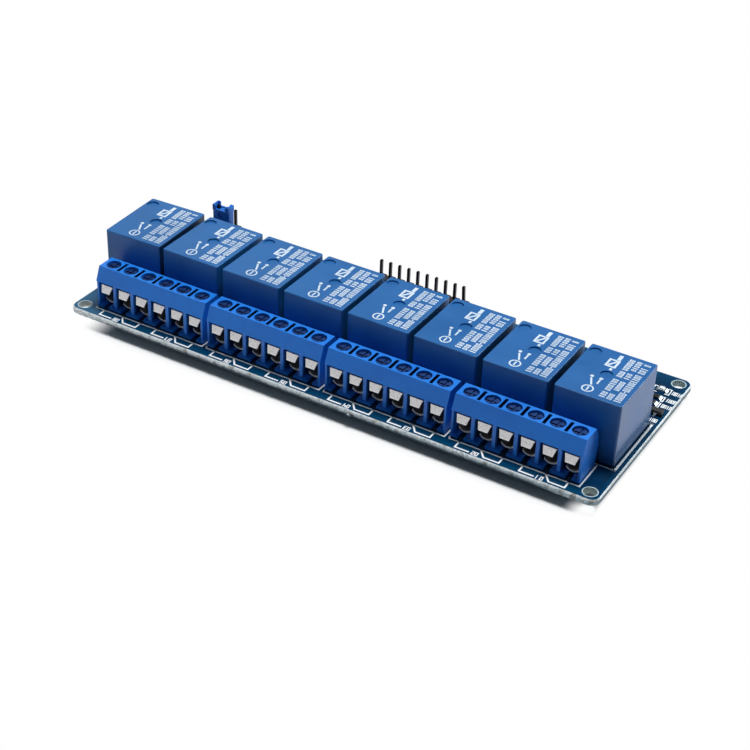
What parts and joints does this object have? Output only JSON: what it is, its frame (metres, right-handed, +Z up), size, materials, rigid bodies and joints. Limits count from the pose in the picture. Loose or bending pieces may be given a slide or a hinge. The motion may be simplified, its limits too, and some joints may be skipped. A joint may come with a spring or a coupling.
{
  "type": "relay module board",
  "caption": "Long circuit board with a row of sealed relays behind screw terminal blocks, two pin headers along the back edge and a mounting hole in each corner.",
  "frame": {"origin": "under the middle of the board, at the tips of its longest solder pins", "axes": "+X along the board, +Y from the screw terminals to the pin headers, +Z up"},
  "size_m": [0.1372, 0.0526, 0.0192],
  "materials": {
    "board": "glossy teal blue solder mask over glass fibre board",
    "relay_cover": "satin moulded blue",
    "relay_base": "satin moulded dark blue",
    "relay_steel": "nickel plated steel",
    "bobbin": "moulded black",
    "copper_wire": "enamelled copper wire, wound",
    "contact_strip": "stamped copper alloy strip",
    "terminal_housing": "semi-gloss moulded bright blue",
    "screw": "zinc plated",
    "clamp": "tin plated folded strip",
    "terminal_pin": "tin plated brass",
    "header_strip": "moulded black",
    "header_pin": "dark plated brass",
    "jumper_cap": "moulded blue",
    "chip_black": "moulded black epoxy",
    "resistor": "black coated ceramic chip",
    "led": "clear lens over a white base",
    "tinned_lead": "tinned and soldered",
    "solder": "bright solder"
  },
  "bodies": {
    "module": {"circuit_board": "board", "solder_joints": "solder", "relay_cover_1": "relay_cover", "relay_base_1": "relay_base", "relay_cover_2": "relay_cover", "relay_base_2": "relay_base", "relay_cover_3": "relay_cover", "relay_base_3": "relay_base", "relay_cover_4": "relay_cover", "relay_base_4": "relay_base", "relay_cover_5": "relay_cover", "relay_base_5": "relay_base", "relay_cover_6": "relay_cover", "relay_base_6": "relay_base", "relay_cover_7": "relay_cover", "relay_base_7": "relay_base", "relay_cover_8": "relay_cover", "relay_base_8": "relay_base", "relay_magnets": "relay_steel", "relay_bobbins": "bobbin", "relay_windings": "copper_wire", "relay_contacts": "contact_strip", "relay_pins": "contact_strip", "terminal_housing_1": "terminal_housing", "terminal_screws_1": "screw", "wire_clamps_1": "clamp", "terminal_pins_1": "terminal_pin", "terminal_housing_2": "terminal_housing", "terminal_screws_2": "screw", "wire_clamps_2": "clamp", "terminal_pins_2": "terminal_pin", "terminal_housing_3": "terminal_housing", "terminal_screws_3": "screw", "wire_clamps_3": "clamp", "terminal_pins_3": "terminal_pin", "terminal_housing_4": "terminal_housing", "terminal_screws_4": "screw", "wire_clamps_4": "clamp", "terminal_pins_4": "terminal_pin", "input_header_strip": "header_strip", "input_header_pins": "header_pin", "power_header_strip": "header_strip", "power_header_pins": "header_pin", "optocouplers": "chip_black", "transistors": "chip_black", "diodes": "chip_black", "resistors": "resistor", "leds": "led", "component_leads": "tinned_lead"},
    "armature_1": {"relay_armature_1": "relay_steel"},
    "armature_2": {"relay_armature_2": "relay_steel"},
    "armature_3": {"relay_armature_3": "relay_steel"},
    "armature_4": {"relay_armature_4": "relay_steel"},
    "armature_5": {"relay_armature_5": "relay_steel"},
    "armature_6": {"relay_armature_6": "relay_steel"},
    "armature_7": {"relay_armature_7": "relay_steel"},
    "armature_8": {"relay_armature_8": "relay_steel"},
    "jumper": {"jumper_cap": "jumper_cap", "jumper_contact": "contact_strip"}
  },
  "joints": [
    {"name": "armature_hinge_1", "type": "hinge", "parent": "module", "child": "armature_1", "pos_m": [-0.05944, 0.0041, 0.01502], "axis": [0.9994, 0.0349, 0], "range_deg": [0, 3], "stiffness_Nm_per_rad": 0.004, "springref_deg": -11.46},
    {"name": "armature_hinge_2", "type": "hinge", "parent": "module", "child": "armature_2", "pos_m": [-0.0423, 0.0041, 0.01502], "axis": [1, 0, 0], "range_deg": [0, 3], "stiffness_Nm_per_rad": 0.004, "springref_deg": -11.46},
    {"name": "armature_hinge_3", "type": "hinge", "parent": "module", "child": "armature_3", "pos_m": [-0.02544, 0.0041, 0.01502], "axis": [1, 0, 0], "range_deg": [0, 3], "stiffness_Nm_per_rad": 0.004, "springref_deg": -11.46},
    {"name": "armature_hinge_4", "type": "hinge", "parent": "module", "child": "armature_4", "pos_m": [-0.00858, 0.0041, 0.01502], "axis": [1, 0, 0], "range_deg": [0, 3], "stiffness_Nm_per_rad": 0.004, "springref_deg": -11.46},
    {"name": "armature_hinge_5", "type": "hinge", "parent": "module", "child": "armature_5", "pos_m": [0.00828, 0.0041, 0.01502], "axis": [1, 0, 0], "range_deg": [0, 3], "stiffness_Nm_per_rad": 0.004, "springref_deg": -11.46},
    {"name": "armature_hinge_6", "type": "hinge", "parent": "module", "child": "armature_6", "pos_m": [0.02514, 0.0041, 0.01502], "axis": [1, 0, 0], "range_deg": [0, 3], "stiffness_Nm_per_rad": 0.004, "springref_deg": -11.46},
    {"name": "armature_hinge_7", "type": "hinge", "parent": "module", "child": "armature_7", "pos_m": [0.042, 0.0041, 0.01502], "axis": [1, 0, 0], "range_deg": [0, 3], "stiffness_Nm_per_rad": 0.004, "springref_deg": -11.46},
    {"name": "armature_hinge_8", "type": "hinge", "parent": "module", "child": "armature_8", "pos_m": [0.05886, 0.0041, 0.01502], "axis": [1, 0, 0], "range_deg": [0, 3], "stiffness_Nm_per_rad": 0.004, "springref_deg": -11.46},
    {"name": "jumper_pull", "type": "slide", "parent": "module", "child": "jumper", "axis": [0, 0, 1], "range_m": [0, 0.0055]}
  ]
}
